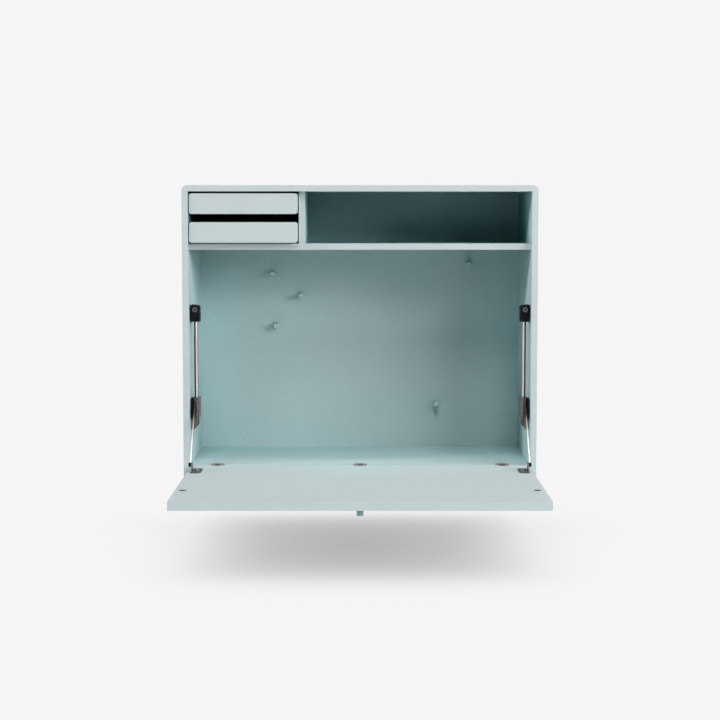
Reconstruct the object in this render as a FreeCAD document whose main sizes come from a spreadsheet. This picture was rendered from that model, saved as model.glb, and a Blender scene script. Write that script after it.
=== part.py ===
import FreeCAD
import Part
import math
import os
import Sketcher
from FreeCAD import Placement, Rotation, Vector

# A wall-hung cabinet whose front folds down into a desk top.
# The origin lies on the wall, midway along the screw line of the hanging rail.
# X runs to the right, Y into the wall and Z up. All lengths are in millimetres.

SIZES = {
    # carcass
    "cabinet_width": 696,
    "cabinet_height": 582,
    "cabinet_depth": 300,
    "board": 12,
    "corner_chamfer": 7,
    "back_board": 8,
    "wall_gap": 10,
    "upper_bay": 102,
    "drawer_bay": 216,
    "dowel_radius": 3,
    "dowel_length": 14,
    "dowel_margin": 50,
    # hanging rails
    "rail_drop": 40,
    "rail_end_gap": 16,
    "rail_plate": 30,
    "rail_metal": 2.5,
    "rail_lip": 10,
    "rail_play": 0.25,
    "rail_hole_radius": 3,
    "rail_hole_margin": 40,
    "inner_hole_spacing": 200,
    "rail_screw_height": 7.5,
    # flap
    "flap_thickness": 16,
    "flap_side_gap": 3,
    "flap_under_gap": 3,
    "flap_overlap": 6,
    "flap_rest_gap": 0.5,
    "cove_gap": 0.5,
    "edge_round": 2.5,
    # flap hinges
    "hinge_inset": 54,
    "hinge_width": 28,
    "hinge_reach": 20,
    "hinge_depth": 14,
    "hinge_arm": 9,
    "hinge_side_play": 0.5,
    "hinge_eye": 5,
    "hinge_eye_play": 0.3,
    "hinge_pin_radius": 2,
    "hinge_pin_length": 26,
    # knobs
    "knob_radius": 6,
    "knob_length": 14,
    "knob_inset": 30,
    "knob_dish": 0.8,
    "knob_bevel": 0.8,
    "peg_length": 22,
    "peg_1_inset": 152,
    "peg_1_drop": 56,
    "peg_2_inset": 212,
    "peg_2_drop": 102,
    "peg_3_inset": 159,
    "peg_3_drop": 165,
    "peg_4_inset": 108,
    "peg_4_drop": 35,
    "peg_5_inset": 175,
    "peg_5_rise": 94,
    "stud_radius": 2.5,
    "stud_bite": 10,
    "stud_seat": 7,
    # stays
    "rod_inset": 10.6,
    "rod_setback": 41,
    "rod_radius": 4,
    "rod_seat": 15,
    "foot_bottom": 67.4,
    "foot_height": 25,
    "foot_standoff": 1,
    "foot_wall": 3.3,
    "foot_side_wall": 1.2,
    "foot_toe": 6.2,
    "foot_taper": 11,
    "flange_lap": 4,
    "flange_depth": 12,
    "flange_height": 12,
    "flange_metal": 3,
    "anchor_bottom": 283.3,
    "anchor_height": 32.7,
    "anchor_standoff": 3,
    "anchor_inner_wall": 4.1,
    "anchor_rear_wall": 12,
    "anchor_pad_margin": 4,
    "anchor_boss_radius": 5,
    "anchor_slant": 1.8,
    "anchor_round": 5,
    "anchor_screw_low": 7,
    "anchor_screw_high": 21,
    "magnet_drop": 3.8,
    "magnet_radius": 5,
    "magnet_thickness": 3,
    "magnet_hole_radius": 1.3,
    "strike_inset": 17.4,
    "strike_radius": 7,
    "strike_thickness": 2,
    "carriage_outer_wall": 2.2,
    "carriage_inner_wall": 2.7,
    "carriage_height": 39.2,
    "carriage_front_wall": 4.2,
    "carriage_rear_wall": 2.6,
    "carriage_play": 0.3,
    "carriage_flap_gap": 1,
    "nose_gap": 2.5,
    "nose_round": 4.5,
    "shoe_standoff": 2.7,
    "shoe_gap": 0.5,
    "shoe_drop": 3,
    "slot_travel": 9.6,
    "arm_inset": 8.6,
    "arm_radius": 1.9,
    "arm_pin_length": 8,
    "arm_side_gap": 0.2,
    "pivot_nose_gap": 5,
    "pivot_rise": 25.7,
    "cap_radius": 4,
    "cap_wall": 1.2,
    "bracket_reach": 76,
    "bracket_height": 13,
    "bracket_length": 54,
    "bracket_width": 19.5,
    "bracket_metal": 2,
    "bracket_front_round": 12,
    "bracket_rear_round": 6,
    "bracket_head_radius": 4.5,
    "ear_metal": 1.8,
    "ear_margin": 4,
    "ear_foot": 34,
    "ear_head": 9,
    # drawers
    "drawer_front_height": 40,
    "drawer_front_thickness": 12,
    "drawer_front_setback": 2,
    "drawer_front_round": 5,
    "drawer_side_gap": 2,
    "drawer_lift": 2,
    "finger_gap": 16,
    "drawer_wall": 10,
    "drawer_bottom": 4,
    "drawer_trim": 3,
    "drawer_rear_gap": 18,
    "groove_depth": 5,
    "groove_stop": 10,
    "runner_height": 8,
    "runner_stop_gap": 1,
    "runner_rear_gap": 3,
    "runner_play": 0.3,
    # screws and fits
    "screw_radius": 1.75,
    "screw_bite": 6,
    "head_radius": 3.5,
    "head_height": 2,
    "screw_slot": 0.8,
    "fit": 0.05,
}

SIDES = (("left", -1), ("right", 1))
HINGES = (("left", -1), ("centre", 0), ("right", 1))
RAIL_SCREW_STEPS = (-1, -0.6, -0.2, 0.2, 0.6, 1)
HALF_DIAGONAL = math.sqrt(0.5)


class Size:
    """A length kept both as a formula over the sheet and as a number."""

    def __init__(self, text, value):
        self.text = text
        self.value = value

    def __add__(self, other):
        other = as_size(other)
        return Size(f"({self.text} + {other.text})", self.value + other.value)

    def __sub__(self, other):
        other = as_size(other)
        return Size(f"({self.text} - {other.text})", self.value - other.value)

    def __mul__(self, other):
        other = as_size(other)
        return Size(f"({self.text} * {other.text})", self.value * other.value)

    def __truediv__(self, other):
        other = as_size(other)
        return Size(f"({self.text} / {other.text})", self.value / other.value)

    def __neg__(self):
        return self * -1

    __radd__ = __add__
    __rmul__ = __mul__


def as_size(thing):
    return thing if isinstance(thing, Size) else Size(repr(thing), float(thing))


def hypotenuse(one, other):
    squares = one * one + other * other
    return Size(f"sqrt({squares.text})", math.sqrt(squares.value))


def lean(run, rise):
    """The angle from upright of a line with that run and rise, in degrees."""
    return Size(f"atan2({run.text}; {rise.text})", math.degrees(math.atan2(run.value, rise.value)))


doc = FreeCAD.newDocument("wall_desk")
sheet = doc.addObject("Spreadsheet::Sheet", "Sizes")
for row, (alias, number) in enumerate(SIZES.items(), start=1):
    sheet.set(f"A{row}", alias)
    sheet.set(f"B{row}", str(number))
    sheet.setAlias(f"B{row}", alias)
doc.recompute()
kept = []


def size(alias):
    return Size(f"Sizes.{alias}", float(sheet.get(alias)))


def keep(label, piece):
    """Give a finished sub-part its own name."""
    piece.Label = label
    kept.append(piece)
    return piece


def place(piece, corner):
    for axis, coordinate in zip("xyz", corner):
        piece.setExpression(f"Placement.Base.{axis}", as_size(coordinate).text)


def box(x, y, z):
    """A block between pairs of coordinates, each pair lowest first."""
    piece = doc.addObject("Part::Box", "block")
    for side, (low, high) in zip(("Length", "Width", "Height"), (x, y, z)):
        piece.setExpression(side, (as_size(high) - low).text)
    place(piece, (x[0], y[0], z[0]))
    return piece


TURNS = {
    "x": Rotation(Vector(0, 1, 0), 90),
    "y": Rotation(Vector(1, 0, 0), -90),
    "z": Rotation(),
}


def round_bar(along, start, length, radius):
    """A cylinder from its start point along one axis."""
    piece = doc.addObject("Part::Cylinder", "bar")
    piece.setExpression("Radius", as_size(radius).text)
    piece.setExpression("Height", as_size(length).text)
    piece.Placement = Placement(Vector(), TURNS[along])
    place(piece, start)
    return piece


def group(pieces):
    """Separate solids that share one node or one cut."""
    if len(pieces) == 1:
        return pieces[0]
    whole = doc.addObject("Part::Compound", "group")
    whole.Links = pieces
    return whole


def join(*pieces):
    whole = doc.addObject("Part::MultiFuse", "joined")
    whole.Shapes = list(pieces)
    return whole


def cut(base, *tools):
    piece = doc.addObject("Part::Cut", "cut")
    piece.Base = base
    piece.Tool = group(list(tools))
    return piece


def new_body():
    return doc.addObject("PartDesign::Body", "body")


def outline(body, plane, offset, corners):
    """A closed straight-sided sketch whose corners are all bound to the sheet."""
    sketch = body.newObject("Sketcher::SketchObject", "outline")
    support = [item for item in body.Origin.OriginFeatures if item.Role == plane]
    sketch.AttachmentSupport = [(support[0], "")]
    sketch.MapMode = "FlatFace"
    sketch.setExpression("AttachmentOffset.Base.z", as_size(offset).text)
    corners = [(as_size(across), as_size(up)) for across, up in corners]
    points = [Vector(across.value, up.value, 0) for across, up in corners]
    for index, point in enumerate(points):
        sketch.addGeometry(Part.LineSegment(point, points[(index + 1) % len(points)]))
    for index in range(len(points)):
        following = (index + 1) % len(points)
        sketch.addConstraint(Sketcher.Constraint("Coincident", index, 2, following, 1))
    for index, corner in enumerate(corners):
        for kind, length in zip(("DistanceX", "DistanceY"), corner):
            number = sketch.addConstraint(Sketcher.Constraint(kind, -1, 1, index, 1, length.value))
            sketch.setExpression(f"Constraints[{number}]", length.text)
    return sketch


def pad(body, sketch, length):
    feature = body.newObject("PartDesign::Pad", "pad")
    feature.Profile = sketch
    feature.setExpression("Length", as_size(length).text)
    return body


def prism(plane, offset, corners, length):
    """A straight bar of the given section."""
    body = new_body()
    return pad(body, outline(body, plane, offset, corners), length)


def soften(body, radius, chosen):
    """Round the edges that the test picks."""
    doc.recompute()
    tip = body.Tip
    names = [f"Edge{number}" for number, edge in enumerate(tip.Shape.Edges, start=1) if chosen(edge)]
    feature = body.newObject("PartDesign::Fillet", "round")
    feature.Base = (tip, names)
    feature.setExpression("Radius", radius.text)
    return body


def runs_along(edge, axis):
    """Whether a straight edge lies along an axis, by its name."""
    step = edge.Vertexes[-1].Point - edge.Vertexes[0].Point
    return abs(getattr(step, axis)) > 0.999 * step.Length > 0


def mirrored(side, near, far):
    """The pair of X coordinates at these distances from the middle, on one side."""
    return (as_size(near), as_size(far)) if side > 0 else (-as_size(far), -as_size(near))


# Planes and lines that the pieces share
half_width = size("cabinet_width") / 2
inner = half_width - size("board")
top = size("rail_drop")
ceiling = top - size("board")
bottom = top - size("cabinet_height")
plinth = bottom + size("board")
front = -size("cabinet_depth")
back_rear = -size("wall_gap")
back_face = back_rear - size("back_board")
shelf_top = ceiling - size("upper_bay")
shelf_under = shelf_top - size("board")
divider_left = size("drawer_bay") - inner
divider_right = divider_left + size("board")
floor = plinth + size("flap_under_gap") + size("flap_thickness")
flap_under = floor - size("flap_thickness")
hinge_y = front + size("flap_thickness") / 2
hinge_z = floor - size("flap_thickness") / 2
flap_rear = front + size("flap_thickness")
flap_length = shelf_under + size("flap_overlap") - hinge_z + size("flap_thickness") / 2
flap_front = flap_rear - flap_length
flap_half = inner - size("flap_side_gap")
cove = size("flap_thickness") * HALF_DIAGONAL + size("cove_gap")
fascia = flap_rear + size("flap_rest_gap")
rod_y = front + size("rod_setback")
carriage_low = floor + size("foot_bottom") + size("foot_height") + size("carriage_play")
nose_front = flap_rear + size("carriage_flap_gap")
pivot_y = nose_front + size("pivot_nose_gap")
pivot_z = carriage_low + size("pivot_rise")
bracket_y = front - size("bracket_reach")
bracket_z = floor + size("bracket_height")
arm_face = size("arm_inset") + size("arm_radius") + size("arm_side_gap")
rail_half = inner - size("rail_end_gap")
rail_hole_end = rail_half - size("rail_hole_margin")
fit = size("fit")


def inset_span(side, near, far):
    """The X coordinates of a piece that lies so far in from a side board's inner face."""
    return mirrored(side, inner - far, inner - near)


def inset(side, distance):
    return (inner - distance) * side


def along_axis(point, along, distance):
    moved = list(point)
    index = "xyz".index(along)
    moved[index] = as_size(moved[index]) + distance
    return moved


def screw(along, into, seat, reach, head=size("head_radius")):
    """A slotted screw with its head on the seat, driven forwards (1) or backwards (-1) along an axis."""
    height = size("head_height")
    shank_start = seat if into > 0 else along_axis(seat, along, -reach)
    head_start = along_axis(seat, along, -height) if into > 0 else seat
    shank = round_bar(along, shank_start, reach, size("screw_radius"))
    disc = round_bar(along, head_start, height, head)
    spans = [(as_size(middle) - head, as_size(middle) + head) for middle in seat]
    narrow = "zxy"["xyz".index(along)]
    middle = as_size(seat["xyz".index(narrow)])
    spans["xyz".index(narrow)] = (middle - size("screw_slot") / 2, middle + size("screw_slot") / 2)
    outer = as_size(seat["xyz".index(along)]) - height * into
    inner_end = outer + height / 2 * into
    spans["xyz".index(along)] = (outer, inner_end) if into > 0 else (inner_end, outer)
    return cut(join(shank, disc), box(*spans))


def screw_hole(along, into, seat, reach):
    start = seat if into > 0 else along_axis(seat, along, -(reach + fit))
    return round_bar(along, start, reach + fit, size("screw_radius") + fit)


def head_hole(along, into, seat):
    """The recess that sinks a screw's head."""
    start = along_axis(seat, along, -size("head_height")) if into > 0 else seat
    return round_bar(along, start, size("head_height"), size("head_radius") + fit)


def dowel(along, middle, play=0):
    """A dowel centred on the joint, or its hole when it has play."""
    length = size("dowel_length") + as_size(play) * 2
    return round_bar(along, along_axis(middle, along, -length / 2), length, size("dowel_radius") + play)


# Where the carcass is dowelled: an axis and the middle of each dowel
dowel_rows = (front + size("dowel_margin"), back_face - size("dowel_margin"))
shelf_middle = shelf_top - size("board") / 2
hinge_board_middle = (plinth + floor) / 2
divider_middle = (divider_left + divider_right) / 2
side_dowels = {
    name: [("x", (inner * side, y, z)) for y in dowel_rows for z in (shelf_middle, hinge_board_middle)]
    for name, side in SIDES
}
divider_dowels = {
    name: [("z", (divider_middle, y, z)) for y in dowel_rows]
    for name, z in (("foot", shelf_top), ("head", ceiling))
}

# Where the runners and the stays are screwed to the boards: axis, direction, seat and reach
runner_width = size("drawer_side_gap") + size("groove_depth") - size("runner_play")
drawer_face = front + size("drawer_front_setback")
drawer_box_front = drawer_face + size("drawer_front_thickness")
groove_front = drawer_box_front + size("groove_stop")
runner_rear = back_face - size("runner_rear_gap")
runner_front = groove_front + size("runner_stop_gap")
drawer_bottoms = {"lower": shelf_top + size("drawer_lift")}
drawer_bottoms["upper"] = drawer_bottoms["lower"] + size("drawer_front_height") + size("finger_gap")
runner_middles = {name: base + size("drawer_front_height") / 2 for name, base in drawer_bottoms.items()}
runner_seat = runner_width - size("head_height")
runner_walls = {"left": (-inner, -1), "right": (divider_left, 1)}


def runner_screws(level, wall):
    """The places of a runner's two screws, each driven outwards into the wall."""
    face, into = runner_walls[wall]
    ends = (runner_front + size("dowel_margin"), runner_rear - size("dowel_margin"))
    seats = [(face - runner_seat * into, y, runner_middles[level]) for y in ends]
    return [("x", into, seat, runner_seat + size("screw_bite")) for seat in seats]


def wall_screws(wall):
    return [spot for level in drawer_bottoms for spot in runner_screws(level, wall)]


anchor_width = size("rod_inset") + size("rod_radius") + size("anchor_inner_wall")
anchor_seat = anchor_width - size("head_height")
anchor_screw_y = rod_y + size("rod_radius") + size("anchor_rear_wall") / 2
anchor_low = floor + size("anchor_bottom")
anchor_high = anchor_low + size("anchor_height")
magnet_z = anchor_high - size("magnet_drop") - size("magnet_radius")
foot_half = size("rod_radius") + size("foot_wall")
foot_rear = rod_y + foot_half
foot_middle = floor + size("foot_bottom") + size("foot_height") / 2


def anchor_screws(side):
    heights = [anchor_low + size(f"anchor_screw_{end}") for end in ("low", "high")]
    seats = [(inset(side, anchor_seat), anchor_screw_y, height) for height in heights]
    return [("x", side, seat, anchor_seat + size("screw_bite")) for seat in seats]


def flange_screw(side):
    seat = (inset(side, size("flange_metal")), foot_rear + size("flange_depth") / 2, foot_middle)
    return ("x", side, seat, size("flange_metal") + size("screw_bite"))


def bracket_screw(side):
    across = inset(side, arm_face + (size("bracket_width") + size("ear_metal")) / 2)
    seat = (across, bracket_y, floor + size("bracket_metal"))
    return ("z", -1, seat, size("bracket_metal") + size("screw_bite"))


rail_face = back_rear + size("rail_metal")
rail_screw_reach = size("rail_metal") + size("screw_bite")
rail_screw_seats = [(rail_hole_end * step, rail_face, size("rail_screw_height")) for step in RAIL_SCREW_STEPS]
rail_screws = [("y", -1, seat, rail_screw_reach) for seat in rail_screw_seats]


def make_carcass():
    """Four mitred outer boards, the back, and the boards inside."""
    bevel = size("corner_chamfer") / 2
    depth = size("cabinet_depth")
    for name, side in SIDES:
        corners = [
            (inner * side, ceiling),
            ((half_width - bevel) * side, top - bevel),
            (half_width * side, top - bevel * 2),
            (half_width * side, bottom + bevel * 2),
            ((half_width - bevel) * side, bottom + bevel),
            (inner * side, plinth),
        ]
        holes = [dowel(*spot, play=fit) for spot in side_dowels[name]]
        holes += [screw_hole(*spot) for spot in anchor_screws(side) + [flange_screw(side)]]
        if name == "left":
            holes += [screw_hole(*spot) for spot in wall_screws("left")]
        keep(f"{name}_side", cut(prism("XZ_Plane", 0, corners, depth), *holes))
    for name, inside, outside, way in (("top", ceiling, top, 1), ("bottom", plinth, bottom, -1)):
        corners = [
            (-inner, inside),
            (inner, inside),
            (half_width - bevel, outside - bevel * way),
            (half_width - bevel * 2, outside),
            (bevel * 2 - half_width, outside),
            (bevel - half_width, outside - bevel * way),
        ]
        board = prism("XZ_Plane", 0, corners, depth)
        if name == "top":
            board = cut(board, *[dowel(*spot, play=fit) for spot in divider_dowels["head"]])
        keep(f"{name}_panel", board)

    studs = [stud_hole("y", (x, back_face, z), 1) for x, z in pegs.values()]
    pilots = [screw_hole(*spot) for spot in rail_screws]
    back = box((-inner, inner), (back_face, back_rear), (plinth, ceiling))
    keep("back_panel", cut(back, *studs, *pilots))

    shelf_holes = [dowel(*spot, play=fit) for places in side_dowels.values() for spot in places[::2]]
    shelf_holes += [dowel(*spot, play=fit) for spot in divider_dowels["foot"]]
    shelf = box((-inner, inner), (fascia, back_face), (shelf_under, shelf_top))
    keep("shelf", cut(shelf, *shelf_holes))

    divider_holes = [dowel(*spot, play=fit) for places in divider_dowels.values() for spot in places]
    divider_holes += [screw_hole(*spot) for spot in wall_screws("right")]
    divider = box((divider_left, divider_right), (fascia, back_face), (shelf_top, ceiling))
    keep("divider", cut(divider, *divider_holes))

    places = [spot for places in (*side_dowels.values(), *divider_dowels.values()) for spot in places]
    keep("carcass_dowels", group([dowel(*spot) for spot in places]))


def make_rails():
    """Two hooked metal bars: one screwed to the wall, one to the cabinet's back."""
    metal = size("rail_metal")
    play = size("rail_play")
    step = size("rail_plate") / 2
    lip_rear = -(metal + play * 2)
    lip_top = step + size("rail_lip")
    wall_section = [
        (0, -step),
        (0, step),
        (lip_rear, step),
        (lip_rear, lip_top),
        (lip_rear - metal, lip_top),
        (lip_rear - metal, step - metal),
        (-metal, step - metal),
        (-metal, -step),
    ]
    reaches = (rail_hole_end, size("inner_hole_spacing") / 2)
    starts = [(reach * side, -metal, 0) for reach in reaches for name, side in SIDES]
    holes = [round_bar("y", start, metal, size("rail_hole_radius")) for start in starts]
    keep("wall_rail", cut(prism("YZ_Plane", -rail_half, wall_section, rail_half * 2), *holes))

    hook_top = lip_top + metal
    cabinet_section = [
        (back_rear, 0),
        (back_rear, hook_top),
        (-play, hook_top),
        (-play, step + play),
        (-play - metal, step + play),
        (-play - metal, lip_top),
        (rail_face, lip_top),
        (rail_face, 0),
    ]
    cabinet_holes = [screw_hole(*spot) for spot in rail_screws]
    bar = prism("YZ_Plane", -rail_half, cabinet_section, rail_half * 2)
    keep("cabinet_rail", cut(bar, *cabinet_holes))


def hinge_half(middle, toward):
    """One rounded half of a let-in hinge: towards the wall (1) or the flap (-1)."""
    radius = size("hinge_width") / 2
    straight = size("hinge_reach") - radius
    across = (middle - radius, middle + radius)
    height = (floor - size("hinge_depth"), floor)
    centre_y = flap_rear + straight * toward
    near = (flap_rear, centre_y)
    past = (flap_rear - radius, flap_rear)
    if toward < 0:
        near = (centre_y, flap_rear)
        past = (flap_rear, flap_rear + radius)
    end = round_bar("z", (middle, centre_y, height[0]), size("hinge_depth"), radius)
    return cut(join(box(across, near, height), end), box(across, past, height))


def hinge_line(middle, length, radius):
    """A cylinder on the hinge axis, centred on one hinge."""
    return round_bar("x", (middle - length / 2, hinge_y, hinge_z), length, radius)


def make_hinges():
    """The board that carries the hinges, and three let-in hinges with pins."""
    middles = {name: inset(side, size("hinge_inset")) for name, side in HINGES}
    cove_bar = round_bar("x", (-inner, hinge_y, hinge_z), inner * 2, cove)
    board = box((-inner, inner), (hinge_y, back_face), (plinth, floor))
    holes = [dowel(*spot, play=fit) for places in side_dowels.values() for spot in places[1::2]]
    pockets = [hinge_half(middle, 1) for middle in middles.values()]
    keep("hinge_board", cut(cut(board, cove_bar), *holes, *pockets))

    eye = size("hinge_eye")
    arm = size("hinge_arm")
    pin = size("hinge_pin_radius")
    clear = eye + size("hinge_eye_play")
    slot_half = arm / 2 + size("hinge_side_play")
    pin_length = size("hinge_pin_length")
    for name, middle in middles.items():
        across = (middle - arm / 2, middle + arm / 2)
        bar = box(across, (hinge_y, hinge_y + cove + eye), (hinge_z - eye, hinge_z + eye))
        housing = cut(hinge_half(middle, 1), hinge_line(middle, size("hinge_width"), cove))
        base = join(housing, bar, hinge_line(middle, arm, eye))
        keep(f"{name}_hinge_base", cut(base, hinge_line(middle, size("hinge_width"), pin + fit)))
        slot_across = (middle - slot_half, middle + slot_half)
        slot = box(slot_across, (hinge_y - clear, flap_rear), (hinge_z - clear, floor))
        bore = hinge_line(middle, pin_length + fit * 2, pin + fit)
        cup = cut(hinge_half(middle, -1), join(slot, bore))
        keep(f"{name}_hinge_cup", cup)
    keep("hinge_pins", group([hinge_line(middle, pin_length, pin) for middle in middles.values()]))
    return middles


def stud_hole(along, mouth, into):
    """The blind hole that a knob's or a peg's stud is set in."""
    depth = size("stud_seat") + fit
    start = mouth if into > 0 else along_axis(mouth, along, -depth)
    return round_bar(along, start, depth, size("stud_radius") + fit)


def knob(length, foot, tilt):
    """A turned knob with a dished end and a bore for its stud, tipped over from upright."""
    radius = size("knob_radius")
    bevel = size("knob_bevel")
    bore = size("stud_radius") + fit
    bore_end = size("stud_bite") + fit
    section = [
        (bore, 0),
        (radius, 0),
        (radius, length - bevel),
        (radius - bevel, length),
        (radius - bevel * 2, length),
        (0, length - size("knob_dish")),
        (0, bore_end),
        (bore, bore_end),
    ]
    body = new_body()
    turned = body.newObject("PartDesign::Revolution", "turned")
    turned.Profile = outline(body, "XZ_Plane", 0, section)
    turned.ReferenceAxis = (turned.Profile[0], ["V_Axis"])
    body.Tip = turned
    body.Placement = Placement(Vector(), Rotation(Vector(1, 0, 0), tilt))
    place(body, foot)
    return body


# Each peg's place on the back board: in from a side board, and below the shelf or above the floor
pegs = {
    f"peg_{number}": (inset(side, size(f"peg_{number}_inset")), shelf_under - size(f"peg_{number}_drop"))
    for number, side in ((1, -1), (2, -1), (3, -1), (4, 1))
}
pegs["peg_5"] = (inset(1, size("peg_5_inset")), floor + size("peg_5_rise"))


def make_pegs():
    """Five turned pegs on studs in the back board."""
    bite = size("stud_bite")
    length = bite + size("stud_seat")
    for name, (x, z) in pegs.items():
        keep(name, knob(size("peg_length"), (x, back_face, z), 90))
    studs = [round_bar("y", (x, back_face - bite, z), length, size("stud_radius")) for x, z in pegs.values()]
    keep("peg_studs", group(studs))


def make_flap(hinge_middles):
    """The folding panel with its knob and the strikes for the catches."""
    thickness = size("flap_thickness")
    section = [(flap_front, flap_under), (flap_rear, flap_under), (flap_rear, floor), (flap_front, floor)]
    panel = prism("YZ_Plane", -flap_half, section, flap_half * 2)

    def lower_rear(edge):
        middle = edge.CenterOfMass
        near = abs(middle.y - flap_rear.value) + abs(middle.z - flap_under.value)
        return runs_along(edge, "x") and near < thickness.value / 10

    soften(panel, size("edge_round"), lower_rear)
    knob_y = flap_front + size("knob_inset")
    knob_foot = (as_size(0), knob_y, flap_under)
    strike_y = hinge_y + hinge_z - magnet_z
    strike_z = floor - size("strike_thickness")
    strike_feet = [(inset(side, size("strike_inset")), strike_y, strike_z) for name, side in SIDES]
    strikes = [round_bar("z", foot, size("strike_thickness"), size("strike_radius")) for foot in strike_feet]
    recesses = [round_bar("z", foot, size("strike_thickness"), size("strike_radius")) for foot in strike_feet]
    pockets = [hinge_half(middle, -1) for middle in hinge_middles.values()]
    pilots = [screw_hole(*bracket_screw(side)) for name, side in SIDES]
    keep("flap_panel", cut(panel, *pockets, *recesses, *pilots, stud_hole("z", knob_foot, 1)))
    keep("strike_plates", group(strikes))
    keep("flap_knob", knob(size("knob_length"), knob_foot, 180))
    stud_start = along_axis(knob_foot, "z", -size("stud_bite"))
    keep("knob_stud", round_bar("z", stud_start, size("stud_bite") + size("stud_seat"), size("stud_radius")))


def arm_rod(side, radius):
    """A bent wire arm: a leaning bar with both ends turned inwards as pivots, the lower one cut flush."""
    run = pivot_y - bracket_y
    rise = pivot_z - bracket_z
    x = inset(side, size("arm_inset"))
    ends = ((x, bracket_y, bracket_z), (x, pivot_y, pivot_z))
    lengths = (arm_face + size("ear_metal") - size("arm_inset"), size("arm_pin_length"))
    bar = doc.addObject("Part::Cylinder", "leaning")
    bar.setExpression("Radius", radius.text)
    bar.setExpression("Height", hypotenuse(run, rise).text)
    bar.Placement = Placement(Vector(), Rotation(Vector(-1, 0, 0), 1))
    bar.setExpression("Placement.Rotation.Angle", lean(run, rise).text)
    place(bar, ends[0])
    pieces = [bar]
    for end, length in zip(ends, lengths):
        elbow = doc.addObject("Part::Sphere", "elbow")
        elbow.setExpression("Radius", radius.text)
        place(elbow, end)
        start = end if side < 0 else along_axis(end, "x", -length)
        pieces += [elbow, round_bar("x", start, length, radius)]
    return join(*pieces)


def make_anchor(name, side):
    """The block at the top of a stay, which holds the rod and the catch magnet, on a pad and a round boss."""
    rear = rod_y + size("rod_radius") + size("anchor_rear_wall")
    standoff = size("anchor_standoff")
    sides = (inset(side, standoff), inset(side, anchor_width))
    corners = [
        (sides[0], anchor_low),
        (sides[0], anchor_high),
        (sides[1], anchor_high - size("anchor_slant")),
        (sides[1], anchor_low),
    ]
    block = prism("XZ_Plane", -rear, corners, rear - fascia)

    def top_inner(edge):
        middle = edge.CenterOfMass
        near = abs(middle.x - sides[1].value) + abs(middle.z - corners[2][1].value)
        return runs_along(edge, "y") and near < 1

    soften(block, size("anchor_round"), top_inner)
    margin = size("anchor_pad_margin")
    pad_depth = (rod_y + size("rod_radius"), rear)
    pad_height = (anchor_low + margin, anchor_high - margin)
    pad_span = inset_span(side, 0, standoff)
    pad_block = box(pad_span, pad_depth, pad_height)
    boss = round_bar("x", (pad_span[0], rod_y, magnet_z), standoff, size("anchor_boss_radius"))
    rod_end = (inset(side, size("rod_inset")), rod_y, anchor_low)
    rod_hole = round_bar("z", rod_end, size("rod_seat"), size("rod_radius") + fit)
    recess = round_bar("y", magnet_foot(side), size("magnet_thickness"), size("magnet_radius"))
    holes = [screw_hole(*spot) for spot in anchor_screws(side)]
    heads = [head_hole(*spot[:3]) for spot in anchor_screws(side)]
    keep(f"{name}_anchor", cut(join(block, pad_block, boss), rod_hole, recess, *holes, *heads))


def magnet_foot(side):
    return (inset(side, size("rod_inset")), fascia, magnet_z)


def ring_magnet(side):
    thickness = size("magnet_thickness")
    disc = round_bar("y", magnet_foot(side), thickness, size("magnet_radius"))
    return cut(disc, round_bar("y", magnet_foot(side), thickness, size("magnet_hole_radius")))


def make_foot(name, side):
    """The tapered block that holds the lower end of a stay's rod, on a flange behind it."""
    low = floor + size("foot_bottom")
    high = low + size("foot_height")
    near = size("foot_standoff")
    far = size("rod_inset") + size("rod_radius") + size("foot_side_wall")
    outline_points = [
        (near, low),
        (near, high),
        (far, high),
        (far, low + size("foot_taper")),
        (size("foot_toe"), low),
    ]
    corners = [(inset(side, across), up) for across, up in outline_points]
    block = prism("XZ_Plane", -foot_rear, corners, foot_half * 2)
    flange_depth = (foot_rear - size("flange_lap"), foot_rear + size("flange_depth"))
    flange_height = (foot_middle - size("flange_height") / 2, foot_middle + size("flange_height") / 2)
    flange = box(inset_span(side, 0, size("flange_metal")), flange_depth, flange_height)
    seat = (inset(side, size("rod_inset")), rod_y, high - size("rod_seat"))
    rod_hole = round_bar("z", seat, size("rod_seat"), size("rod_radius") + fit)
    keep(f"{name}_rod_foot", cut(join(block, flange), rod_hole, screw_hole(*flange_screw(side))))
    rod_length = anchor_low + size("rod_seat") - seat[2]
    keep(f"{name}_guide_rod", round_bar("z", seat, rod_length, size("rod_radius")))


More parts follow.
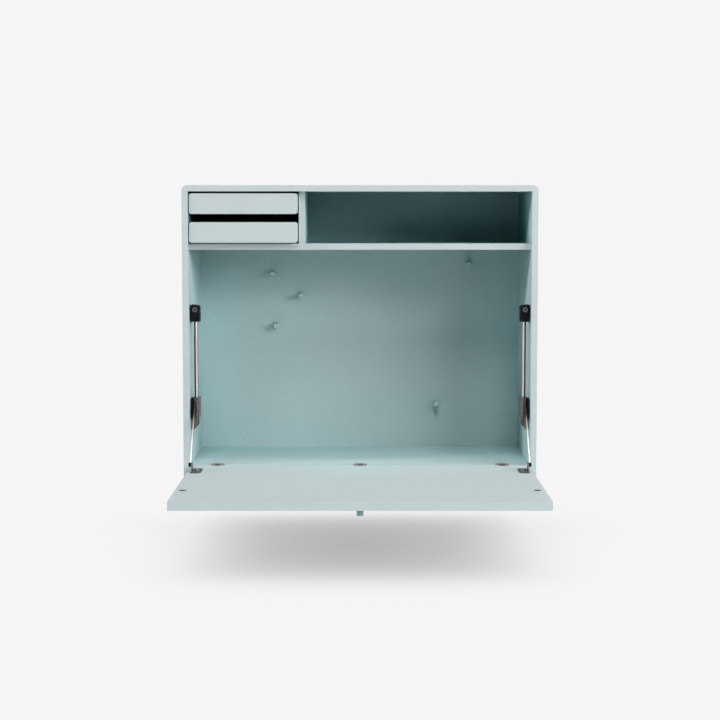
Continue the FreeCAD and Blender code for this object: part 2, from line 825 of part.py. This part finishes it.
def make_carriage(name, side):
    """The slider on a stay's rod, with a nose for the arm's pivot and a shoe outside the arm."""
    height = (carriage_low, carriage_low + size("carriage_height"))
    slot_radius = size("rod_radius") + size("carriage_play")
    slot_ends = (rod_y, rod_y + size("slot_travel"))
    nose_rear = slot_ends[0] - slot_radius - size("carriage_front_wall")
    rear = slot_ends[1] + slot_radius + size("carriage_rear_wall")
    near = size("rod_inset") - slot_radius - size("carriage_outer_wall")
    far = size("rod_inset") + slot_radius + size("carriage_inner_wall")
    block = box(inset_span(side, near, far), (nose_rear, rear), height)
    nose_sides = (inset(side, size("arm_inset") + size("arm_radius") + size("nose_gap")), inset(side, far))
    nose_corners = list(zip(nose_sides + nose_sides[::-1], (height[0], height[0], height[1], height[1])))
    nose = prism("XZ_Plane", -nose_rear, nose_corners, nose_rear - nose_front)

    def top_outer(edge):
        middle = edge.CenterOfMass
        near_corner = abs(middle.x - nose_sides[0].value) + abs(middle.z - height[1].value)
        return runs_along(edge, "y") and near_corner < 1

    soften(nose, size("nose_round"), top_outer)
    middle = inset(side, size("rod_inset"))
    feet = [(middle, y, carriage_low) for y in slot_ends]
    ends = [round_bar("z", foot, size("carriage_height"), slot_radius) for foot in feet]
    channel = box((middle - slot_radius, middle + slot_radius), slot_ends, height)
    bore_span = inset_span(side, 0, far)
    bore = round_bar("x", (bore_span[0], pivot_y, pivot_z), far, size("arm_radius") + fit)
    keep(f"{name}_carriage", cut(join(block, nose), join(*ends, channel), bore))

    shoe_end = size("arm_inset") - size("arm_radius") - size("shoe_gap")
    shoe_span = inset_span(side, size("shoe_standoff"), shoe_end)
    shoe_height = (height[0] - size("shoe_drop"), height[1])
    keep(f"{name}_slide_shoe", box(shoe_span, (nose_front, nose_rear), shoe_height))


def make_arm(name, side):
    keep(f"{name}_stay_arm", arm_rod(side, size("arm_radius")))
    near = size("arm_inset") - size("arm_radius") - size("cap_wall")
    far = size("arm_inset") + size("arm_radius")
    start = (inset_span(side, near, far)[0], bracket_y, bracket_z)
    cap = round_bar("x", start, far - near, size("cap_radius"))
    keep(f"{name}_arm_cap", cut(cap, arm_rod(side, size("arm_radius") + fit)))


def make_bracket(name, side):
    """A plate on the flap with an upright ear for the arm's lower pivot."""
    metal = size("bracket_metal")
    half = size("bracket_length") / 2
    span = inset_span(side, arm_face, arm_face + size("bracket_width"))
    plate_corners = [(x, bracket_y + half * way) for x, way in zip(span + span[::-1], (-1, -1, 1, 1))]
    body = prism("XY_Plane", floor, plate_corners, metal)
    inner_end = span[0] if side > 0 else span[1]
    for end, way in (("front", -1), ("rear", 1)):

        def inner_corner(edge, way=way):
            middle = edge.CenterOfMass
            near_end = abs(middle.x - inner_end.value) + abs(middle.y - (bracket_y + half * way).value)
            return runs_along(edge, "z") and near_end < metal.value

        soften(body, size(f"bracket_{end}_round"), inner_corner)
    ear_span = inset_span(side, arm_face, arm_face + size("ear_metal"))
    ear_top = bracket_z + size("ear_margin")
    ear_foot = size("ear_foot") / 2
    ear_head = size("ear_head") / 2
    ear_corners = [
        (bracket_y - ear_foot, floor),
        (bracket_y + ear_foot, floor),
        (bracket_y + ear_head, ear_top),
        (bracket_y - ear_head, ear_top),
    ]
    pad(body, outline(body, "YZ_Plane", ear_span[0], ear_corners), size("ear_metal"))
    bore = round_bar("x", (ear_span[0], bracket_y, bracket_z), size("ear_metal"), size("arm_radius") + fit)
    keep(f"{name}_flap_bracket", cut(body, bore, screw_hole(*bracket_screw(side))))


def make_stays():
    """On each side a rod with a sliding carriage, whose arm holds the open flap."""
    for name, side in SIDES:
        make_anchor(name, side)
        make_foot(name, side)
        make_carriage(name, side)
        make_arm(name, side)
        make_bracket(name, side)
    sides = [side for name, side in SIDES]
    keep("catch_magnets", group([ring_magnet(side) for side in sides]))
    places = [spot for side in sides for spot in anchor_screws(side) + [flange_screw(side)]]
    keep("stay_screws", group([screw(*spot) for spot in places]))
    head = size("bracket_head_radius")
    keep("bracket_screws", group([screw(*bracket_screw(side), head=head) for side in sides]))


def make_drawer(level):
    """A drawer with a round-cornered front and grooved sides that hang on two runners."""
    base = drawer_bottoms[level]
    top_edge = base + size("drawer_front_height")
    left = size("drawer_side_gap") - inner
    right = divider_left - size("drawer_side_gap")
    box_rear = back_face - size("drawer_rear_gap")
    box_depth = (drawer_box_front, box_rear)
    wall = size("drawer_wall")
    height = (base + size("drawer_trim"), top_edge - size("drawer_trim"))
    corners = [(left, base), (right, base), (right, top_edge), (left, top_edge)]
    panel = prism("XZ_Plane", -drawer_box_front, corners, size("drawer_front_thickness"))
    soften(panel, size("drawer_front_round"), lambda edge: runs_along(edge, "y"))
    keep(f"{level}_drawer_front", panel)

    groove_z = size("runner_height") / 2 + size("runner_play")
    middle = runner_middles[level]
    depth = size("groove_depth")
    groove_y = (groove_front, box_rear)
    sides = {
        "left": ((left, left + wall), (left, left + depth)),
        "right": ((right - wall, right), (right - depth, right)),
    }
    for name, (span, groove_span) in sides.items():
        groove = box(groove_span, groove_y, (middle - groove_z, middle + groove_z))
        keep(f"{level}_drawer_{name}", cut(box(span, box_depth, height), groove))
    inside = (left + wall, right - wall)
    keep(f"{level}_drawer_back", box(inside, (box_rear - wall, box_rear), height))
    bottom_span = (height[0], height[0] + size("drawer_bottom"))
    keep(f"{level}_drawer_bottom", box(inside, (drawer_box_front, box_rear - wall), bottom_span))

    half = size("runner_height") / 2
    runners = []
    for name, (face_x, into) in runner_walls.items():
        span = (face_x - runner_width, face_x) if into > 0 else (face_x, face_x + runner_width)
        strip = box(span, (runner_front, runner_rear), (middle - half, middle + half))
        places = runner_screws(level, name)
        holes = [screw_hole(*spot) for spot in places]
        heads = [head_hole(*spot[:3]) for spot in places]
        runners.append(cut(strip, *holes, *heads))
    keep(f"{level}_runners", group(runners))


make_carcass()
make_rails()
make_flap(make_hinges())
make_pegs()
make_stays()
for level in drawer_bottoms:
    make_drawer(level)
board_screws = rail_screws + [spot for wall in runner_walls for spot in wall_screws(wall)]
keep("board_screws", group([screw(*spot) for spot in board_screws]))
doc.recompute()

faults = [item.Label for item in doc.Objects if {"Invalid", "Error"} & set(item.State)]
faults += [piece.Label for piece in kept if piece.Shape.isNull() or not piece.Shape.isValid()]
if faults:
    raise RuntimeError("these did not build: " + ", ".join(faults))

os.makedirs("parts", exist_ok=True)
for piece in kept:
    piece.Shape.exportStep(f"parts/{piece.Label}.step")
print(len(kept), "sub-parts,", sum(len(piece.Shape.Solids) for piece in kept), "solids")
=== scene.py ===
"""The looks of a fold-down wall desk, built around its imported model.

Finishes, eased edges, a floor, studio light and a camera.
"""

import math

import bpy
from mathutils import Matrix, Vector

SIDES = ("left", "right")
LEVELS = ("upper", "lower")
HINGES = ("left", "centre", "right")
PEG_COUNT = 5

# Places on the stays, in metres
ROD_MIDDLE = 0.3254
ROD_RADIUS = 0.004
MAGNET_HEIGHT = -0.2038
MAGNET_RADIUS = 0.005
# Heights on the arm between which painted shade darkens it towards the carriage
ARM_BRIGHT_BELOW = -0.46
ARM_PAINTED_SHADE_ABOVE = -0.41

# Eased edges: metres and degrees
BOARD_EASE = 0.0012
DRAWER_FRONT_EASE = 0.0016
EASE_SEGMENTS = 3
EASE_FROM_ANGLE = 30
WELD_DISTANCE = 1e-6

# Lacquer: how far the surroundings that set its painted shade reach, in metres, and how much clouds shift
# its colour
LACQUER_SHADE_REACH = 0.6
LACQUER_CLOUDS = 0.05

# The span in which nearly all values of a noise pattern lie
NOISE_SPAN = (0.3, 0.7)

# Camera: metres, degrees and millimetres
CAMERA_PLACE = (0.0, -3.670, -0.0209)
CAMERA_DOWN_TILT = 4.764
CAMERA_LENS = 86.1

# Stage: places and reach in metres, brightness from zero to one
FLOOR_MIDDLE = (0, -0.4, -0.657)
FLOOR_HALF = 9.0
BACKGROUND = 0.913
FLOOR_BOUNCE = 0.68
# The floor's painted shadow: reach in metres, sharpness, and depth from zero to one
SHADOW_REACH = 0.4
SHADOW_SHARPNESS = 2.35
SHADOW_DEPTH = 0.63

# Light: degrees to the right of the front, degrees up, metres across, metres high, watts
LAMPS = {
    "key_light": (36, 22, 2.0, 1.6, 126),
    "side_light": (52, 10, 2.0, 1.2, 130),
    "front_light": (0, 47, 2.4, 2.4, 198),
    "far_left_light": (-76, 14, 0.8, 0.6, 240),
    "far_right_light": (76, 13, 0.8, 0.6, 150),
    "high_left_light": (-60, 55, 2.2, 2.2, 75),
    "high_right_light": (80, 60, 2.4, 2.2, 225),
    "back_light": (180, 30, 1.6, 1.6, 250),
}
LAMP_TARGET = (0.0, -0.25, -0.28)
LAMP_DISTANCE = 7.0

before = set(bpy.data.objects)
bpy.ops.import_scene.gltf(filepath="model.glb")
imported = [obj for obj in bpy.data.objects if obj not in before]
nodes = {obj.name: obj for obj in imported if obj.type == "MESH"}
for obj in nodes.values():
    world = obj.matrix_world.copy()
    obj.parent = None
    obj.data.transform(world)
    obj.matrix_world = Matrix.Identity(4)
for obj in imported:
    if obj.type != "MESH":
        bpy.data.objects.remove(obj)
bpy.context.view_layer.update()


def reckon(tree, operation, *values):
    """The result of one calculation on numbers and sockets."""
    node = tree.nodes.new("ShaderNodeMath")
    node.operation = operation
    for socket, value in zip(node.inputs, values):
        if isinstance(value, float):
            socket.default_value = value
        else:
            tree.links.new(value, socket)
    return node.outputs["Value"]


def rescale(tree, value, low, high, new_low=0.0, new_high=1.0):
    """A value moved from one span to another, and held within it."""
    node = tree.nodes.new("ShaderNodeMapRange")
    node.inputs["From Min"].default_value = low
    node.inputs["From Max"].default_value = high
    node.inputs["To Min"].default_value = new_low
    node.inputs["To Max"].default_value = new_high
    tree.links.new(value, node.inputs["Value"])
    return node.outputs["Result"]


def open_sky(tree, reach, samples):
    """How open a surface lies to its surroundings within a reach in metres, from zero to one."""
    node = tree.nodes.new("ShaderNodeAmbientOcclusion")
    node.samples = samples
    node.inputs["Distance"].default_value = reach
    return node.outputs["AO"]


def grey(level):
    """An opaque grey of that brightness."""
    return (level, level, level, 1)


def shade(colour, factor):
    """A colour made darker or lighter by a factor."""
    return tuple(part * factor for part in colour)


class Finish:
    """A material under construction, with short ways to add procedural detail."""

    def __init__(self, name, **values):
        self.material = bpy.data.materials.new(name)
        self.material.use_nodes = True
        self.tree = self.material.node_tree
        self.shader = self.tree.nodes["Principled BSDF"]
        self.place = self.tree.nodes.new("ShaderNodeTexCoord").outputs["Object"]
        for socket, value in values.items():
            self.shader.inputs[socket.replace("_", " ")].default_value = value

    def noise(self, scale, detail=3.0, stretch=(1, 1, 1)):
        """A noise pattern with so many grains to the metre, drawn out along an axis by a small stretch."""
        mapping = self.tree.nodes.new("ShaderNodeMapping")
        mapping.inputs["Scale"].default_value = stretch
        self.tree.links.new(self.place, mapping.inputs["Vector"])
        pattern = self.tree.nodes.new("ShaderNodeTexNoise")
        pattern.inputs["Scale"].default_value = scale
        pattern.inputs["Detail"].default_value = detail
        self.tree.links.new(mapping.outputs["Vector"], pattern.inputs["Vector"])
        return pattern.outputs["Fac"]

    def along(self, axis):
        """The place along one axis, in metres."""
        parts = self.tree.nodes.new("ShaderNodeSeparateXYZ")
        self.tree.links.new(self.place, parts.inputs["Vector"])
        return parts.outputs[axis]

    def colour(self, pattern, stops):
        """The base colour follows the pattern from stop to stop, each a value and its colour."""
        ramp = self.tree.nodes.new("ShaderNodeValToRGB")
        elements = ramp.color_ramp.elements
        for _ in stops[2:]:
            elements.new(0.5)
        for element, (value, colour) in zip(elements, stops):
            element.position = value
            element.color = (*colour, 1)
        self.tree.links.new(pattern, ramp.inputs["Fac"])
        self.tree.links.new(ramp.outputs["Color"], self.shader.inputs["Base Color"])

    def roughness(self, pattern, low, high):
        """The roughness follows the pattern between two levels."""
        level = rescale(self.tree, pattern, *NOISE_SPAN, low, high)
        self.tree.links.new(level, self.shader.inputs["Roughness"])

    def relief(self, pattern, depth):
        """Fine relief of that depth in metres."""
        bump = self.tree.nodes.new("ShaderNodeBump")
        bump.inputs["Distance"].default_value = depth
        self.tree.links.new(pattern, bump.inputs["Height"])
        self.tree.links.new(bump.outputs["Normal"], self.shader.inputs["Normal"])


def varied(name, colour, spread, grain, roughness, relief, stretch=(1, 1, 1), **values):
    """A finish whose colour, gloss and relief all vary with fine grain."""
    finish = Finish(name, **values)
    pattern = finish.noise(grain, stretch=stretch)
    low, high = NOISE_SPAN
    finish.colour(pattern, [(low, shade(colour, 1 - spread)), (high, shade(colour, 1 + spread))])
    finish.roughness(pattern, *roughness)
    finish.relief(pattern, relief)
    return finish.material


def lacquer():
    """Satin spray lacquer with a fine orange-peel skin, and painted light and shade that follow how
    enclosed each spot is: dark teal in deep recesses, lighter teal where partly enclosed, greyer on open
    faces.
    """
    finish = Finish("lacquer", Specular_IOR_Level=0.2)
    clouds = finish.noise(9, detail=4)
    painted_shade_ao = open_sky(finish.tree, LACQUER_SHADE_REACH, samples=4)
    painted_shade_openness = reckon(finish.tree, "MULTIPLY_ADD", clouds, LACQUER_CLOUDS, painted_shade_ao)
    painted_deep_shade = (0.12, 0.26, 0.27)
    painted_recess_tint = (0.45, 0.655, 0.665)
    painted_half_open_tint = (0.575, 0.655, 0.663)
    open_face_colour = (0.418, 0.468, 0.475)
    # Painted light and shade: dark teal in deep recesses, a lighter teal and a lighter grey where partly
    # enclosed, a darker grey on open faces
    finish.colour(painted_shade_openness, [(0.1, painted_deep_shade), (0.26, painted_recess_tint), (0.37, painted_half_open_tint), (0.5, open_face_colour)])
    finish.roughness(finish.noise(60), 0.62, 0.72)
    finish.relief(finish.noise(800, detail=1), 0.00002)
    return finish.material


def rod_chrome():
    """Chrome with a painted reflection: dimmer at the inner edge, bright towards the middle of the desk,
    and dark on the outer side, where the rod would mirror the board beside it.
    """
    finish = Finish("rod_chrome", Metallic=1.0)
    out = reckon(finish.tree, "ABSOLUTE", finish.along("X"))
    across = rescale(finish.tree, out, ROD_MIDDLE - ROD_RADIUS, ROD_MIDDLE + ROD_RADIUS)
    bright = (0.6, 0.55, 0.54)
    painted_dim = (0.3, 0.27, 0.265)
    painted_dark_reflection = (0.03, 0.028, 0.027)
    # Painted reflection: dim at the inner edge, bright across the middle, dark on the side towards the
    # board
    finish.colour(across, [(0.08, painted_dim), (0.22, bright), (0.55, bright), (0.66, painted_dark_reflection)])
    pattern = finish.noise(400, stretch=(1, 1, 0.05))
    finish.roughness(pattern, 0.2, 0.3)
    finish.relief(pattern, 0.000005)
    return finish.material


def magnet_steel():
    """A ring magnet with painted shade dark towards its hole, a grey ring, and a slightly darker rim."""
    finish = Finish("magnet", Metallic=0.8)
    out = reckon(finish.tree, "ABSOLUTE", finish.along("X"))
    aside = reckon(finish.tree, "SUBTRACT", out, ROD_MIDDLE)
    above = reckon(finish.tree, "SUBTRACT", finish.along("Z"), MAGNET_HEIGHT)
    squares = [reckon(finish.tree, "POWER", part, 2.0) for part in (aside, above)]
    away = reckon(finish.tree, "SQRT", reckon(finish.tree, "ADD", *squares))
    painted_hole_shade = (0.02, 0.018, 0.03)
    ring = (0.15, 0.145, 0.16)
    rim = (0.11, 0.105, 0.12)
    # Painted shade towards the hole, then the grey ring and a slightly darker rim
    finish.colour(rescale(finish.tree, away, 0.0, MAGNET_RADIUS), [(0.4, painted_hole_shade), (0.62, ring), (0.9, rim)])
    pattern = finish.noise(900)
    finish.roughness(pattern, 0.3, 0.45)
    finish.relief(pattern, 0.00002)
    return finish.material


def arm_steel():
    """Brushed steel wire, bright below, with painted shade darkening it towards the end that runs in the
    carriage.
    """
    finish = Finish("arm_steel", Metallic=1.0)
    bright = (0.55, 0.52, 0.51)
    painted_dim = (0.06, 0.055, 0.053)
    # A ramp runs from zero to one, so these heights below zero are raised by a metre
    raised = reckon(finish.tree, "ADD", finish.along("Z"), 1.0)
    # Painted shade: the wire darkens towards the carriage
    finish.colour(raised, [(1 + ARM_BRIGHT_BELOW, bright), (1 + ARM_PAINTED_SHADE_ABOVE, painted_dim)])
    pattern = finish.noise(400, stretch=(1, 0.1, 0.1))
    finish.roughness(pattern, 0.4, 0.5)
    finish.relief(pattern, 0.000005)
    return finish.material


LACQUER = lacquer()
ROD_CHROME = rod_chrome()
ARM_STEEL = arm_steel()
MAGNET = magnet_steel()

# Each with its colour, the colour's spread, grains to the metre, roughness, and depth of relief in metres
BLACK_PLASTIC = varied(
    "black_plastic", (0.004, 0.004, 0.0045), 0.3, 900, (0.5, 0.65), 0.00004, Specular_IOR_Level=0.08
)
NYLON = varied("nylon", (0.02, 0.02, 0.02), 0.2, 600, (0.35, 0.5), 0.00002)
STAY_ZINC = varied("stay_zinc", (0.125, 0.113, 0.106), 0.6, 350, (0.4, 0.6), 0.00008, Metallic=0.6)
BRACKET_ZINC = varied("bracket_zinc", (0.085, 0.078, 0.073), 0.3, 500, (0.4, 0.6), 0.00006, Metallic=0.6)
HINGE_ZINC = varied("hinge_zinc", (0.24, 0.215, 0.2), 0.2, 600, (0.5, 0.65), 0.00003, Metallic=0.3)
ALUMINIUM = varied(
    "aluminium", (0.5, 0.51, 0.52), 0.08, 900, (0.4, 0.55), 0.00001, stretch=(0.02, 1, 1), Metallic=1.0
)
SCREW_STEEL = varied("screw_steel", (0.3, 0.29, 0.28), 0.1, 1200, (0.35, 0.5), 0.00002, Metallic=1.0)
STRIKE_STEEL = varied(
    "strike_steel", (0.006, 0.005, 0.006), 0.2, 800, (0.6, 0.7), 0.00002, Specular_IOR_Level=0.03
)
BEECH = varied("beech", (0.52, 0.36, 0.21), 0.18, 300, (0.5, 0.65), 0.00005, stretch=(0.1, 1, 1))


def named(owners, pieces):
    """The names of these pieces of each owner."""
    return [f"{owner}_{piece}" for owner in owners for piece in pieces]


def dress(names, material):
    """Give CAD nodes one finish in place of their plain colour."""
    for name in names:
        mesh = nodes[name].data
        mesh.materials.clear()
        mesh.materials.append(material)


def ease(names, width):
    """Round the edges of CAD nodes by a small radius, in metres."""
    for name in names:
        weld = nodes[name].modifiers.new("weld", "WELD")
        weld.merge_threshold = WELD_DISTANCE
        bevel = nodes[name].modifiers.new("ease", "BEVEL")
        bevel.width = width
        bevel.segments = EASE_SEGMENTS
        bevel.limit_method = "ANGLE"
        bevel.angle_limit = math.radians(EASE_FROM_ANGLE)
        nodes[name].modifiers.new("normals", "WEIGHTED_NORMAL")


def dress_nodes():
    """Give every CAD node its finish, and the boards their eased edges."""
    boards = ["left_side", "right_side", "top_panel", "bottom_panel"]
    boards += ["back_panel", "shelf", "divider", "hinge_board", "flap_panel"]
    drawers = named(named(LEVELS, ["drawer"]), ["front", "left", "right", "back", "bottom"])
    pegs = [f"peg_{number}" for number in range(1, PEG_COUNT + 1)]
    dress(boards + drawers + pegs + ["flap_knob"], LACQUER)
    dress(named(SIDES, ["anchor", "arm_cap", "slide_shoe"]), BLACK_PLASTIC)
    dress(named(SIDES, ["rod_foot", "carriage"]), STAY_ZINC)
    dress(named(SIDES, ["flap_bracket"]), BRACKET_ZINC)
    dress(named(SIDES, ["guide_rod"]), ROD_CHROME)
    dress(named(SIDES, ["stay_arm"]), ARM_STEEL)
    dress(named(HINGES, ["hinge_base", "hinge_cup"]), HINGE_ZINC)
    dress(named(LEVELS, ["runners"]), NYLON)
    dress(["wall_rail", "cabinet_rail"], ALUMINIUM)
    dress(["board_screws", "stay_screws", "bracket_screws"], SCREW_STEEL)
    dress(["hinge_pins", "knob_stud", "peg_studs"], SCREW_STEEL)
    dress(["strike_plates"], STRIKE_STEEL)
    dress(["catch_magnets"], MAGNET)
    dress(["carcass_dowels"], BEECH)
    ease(boards, BOARD_EASE)
    ease(named(LEVELS, ["drawer_front"]), DRAWER_FRONT_EASE)


def seen_directly(tree):
    """One for rays from the camera, also by way of a mirror or glass, and zero for scattered light."""
    path = tree.nodes.new("ShaderNodeLightPath")
    seen = path.outputs["Is Camera Ray"]
    for ray in ("Is Glossy Ray", "Is Transmission Ray"):
        seen = reckon(tree, "MAXIMUM", seen, path.outputs[ray])
    return seen


def make_world():
    """A plain pale background, which sheds no scattered light."""
    world = bpy.data.worlds.new("studio")
    world.use_nodes = True
    bpy.context.scene.world = world
    tree = world.node_tree
    background = tree.nodes["Background"]
    background.inputs["Color"].default_value = grey(BACKGROUND)
    tree.links.new(seen_directly(tree), background.inputs["Strength"])


def floor_finish():
    """A pale floor as bright as the background, with a painted shadow where the object stands over it."""
    material = bpy.data.materials.new("floor")
    material.use_nodes = True
    tree = material.node_tree
    tree.nodes.clear()

    # Painted shadow: the floor's glow darkens by how enclosed each spot is, not by the lamps
    covered = reckon(tree, "SUBTRACT", 1.0, open_sky(tree, SHADOW_REACH, samples=32))
    shadow = reckon(tree, "MULTIPLY", reckon(tree, "POWER", covered, SHADOW_SHARPNESS), SHADOW_DEPTH)
    shown = tree.nodes.new("ShaderNodeEmission")
    shown.inputs["Color"].default_value = grey(BACKGROUND)
    tree.links.new(reckon(tree, "SUBTRACT", 1.0, shadow), shown.inputs["Strength"])
    bounce = tree.nodes.new("ShaderNodeBsdfDiffuse")
    bounce.inputs["Color"].default_value = grey(FLOOR_BOUNCE)
    whole = tree.nodes.new("ShaderNodeMixShader")
    tree.links.new(seen_directly(tree), whole.inputs["Fac"])
    tree.links.new(bounce.outputs["BSDF"], whole.inputs[1])
    tree.links.new(shown.outputs["Emission"], whole.inputs[2])
    output = tree.nodes.new("ShaderNodeOutputMaterial")
    tree.links.new(whole.outputs["Shader"], output.inputs["Surface"])
    return material


def make_floor():
    """A wide flat floor below the object."""
    half = FLOOR_HALF
    corners = [(-half, -half, 0), (half, -half, 0), (half, half, 0), (-half, half, 0)]
    mesh = bpy.data.meshes.new("floor")
    mesh.from_pydata(corners, [], [(0, 1, 2, 3)])
    mesh.materials.append(floor_finish())
    floor = bpy.data.objects.new("floor", mesh)
    floor.location = FLOOR_MIDDLE
    bpy.context.scene.collection.objects.link(floor)


def make_lamps():
    """Soft rectangular lamps all round, turned towards the object."""
    target = Vector(LAMP_TARGET)
    for name, (azimuth, elevation, across, high, power) in LAMPS.items():
        data = bpy.data.lights.new(name, "AREA")
        data.shape = "RECTANGLE"
        data.size = across
        data.size_y = high
        data.energy = power
        turn = math.radians(azimuth)
        rise = math.radians(elevation)
        away = Vector((math.sin(turn) * math.cos(rise), -math.cos(turn) * math.cos(rise), math.sin(rise)))
        lamp = bpy.data.objects.new(name, data)
        lamp.location = target + away * LAMP_DISTANCE
        lamp.rotation_euler = away.to_track_quat("Z", "Y").to_euler()
        bpy.context.scene.collection.objects.link(lamp)


def make_camera():
    """The photograph's viewpoint, straight in front and tilted a little down."""
    data = bpy.data.cameras.new("camera")
    data.lens = CAMERA_LENS
    camera = bpy.data.objects.new("camera", data)
    camera.location = CAMERA_PLACE
    camera.rotation_euler = (math.radians(90 - CAMERA_DOWN_TILT), 0, 0)
    bpy.context.scene.collection.objects.link(camera)
    bpy.context.scene.camera = camera


dress_nodes()
make_world()
make_floor()
make_lamps()
make_camera()
bpy.context.scene.view_settings.view_transform = "Standard"
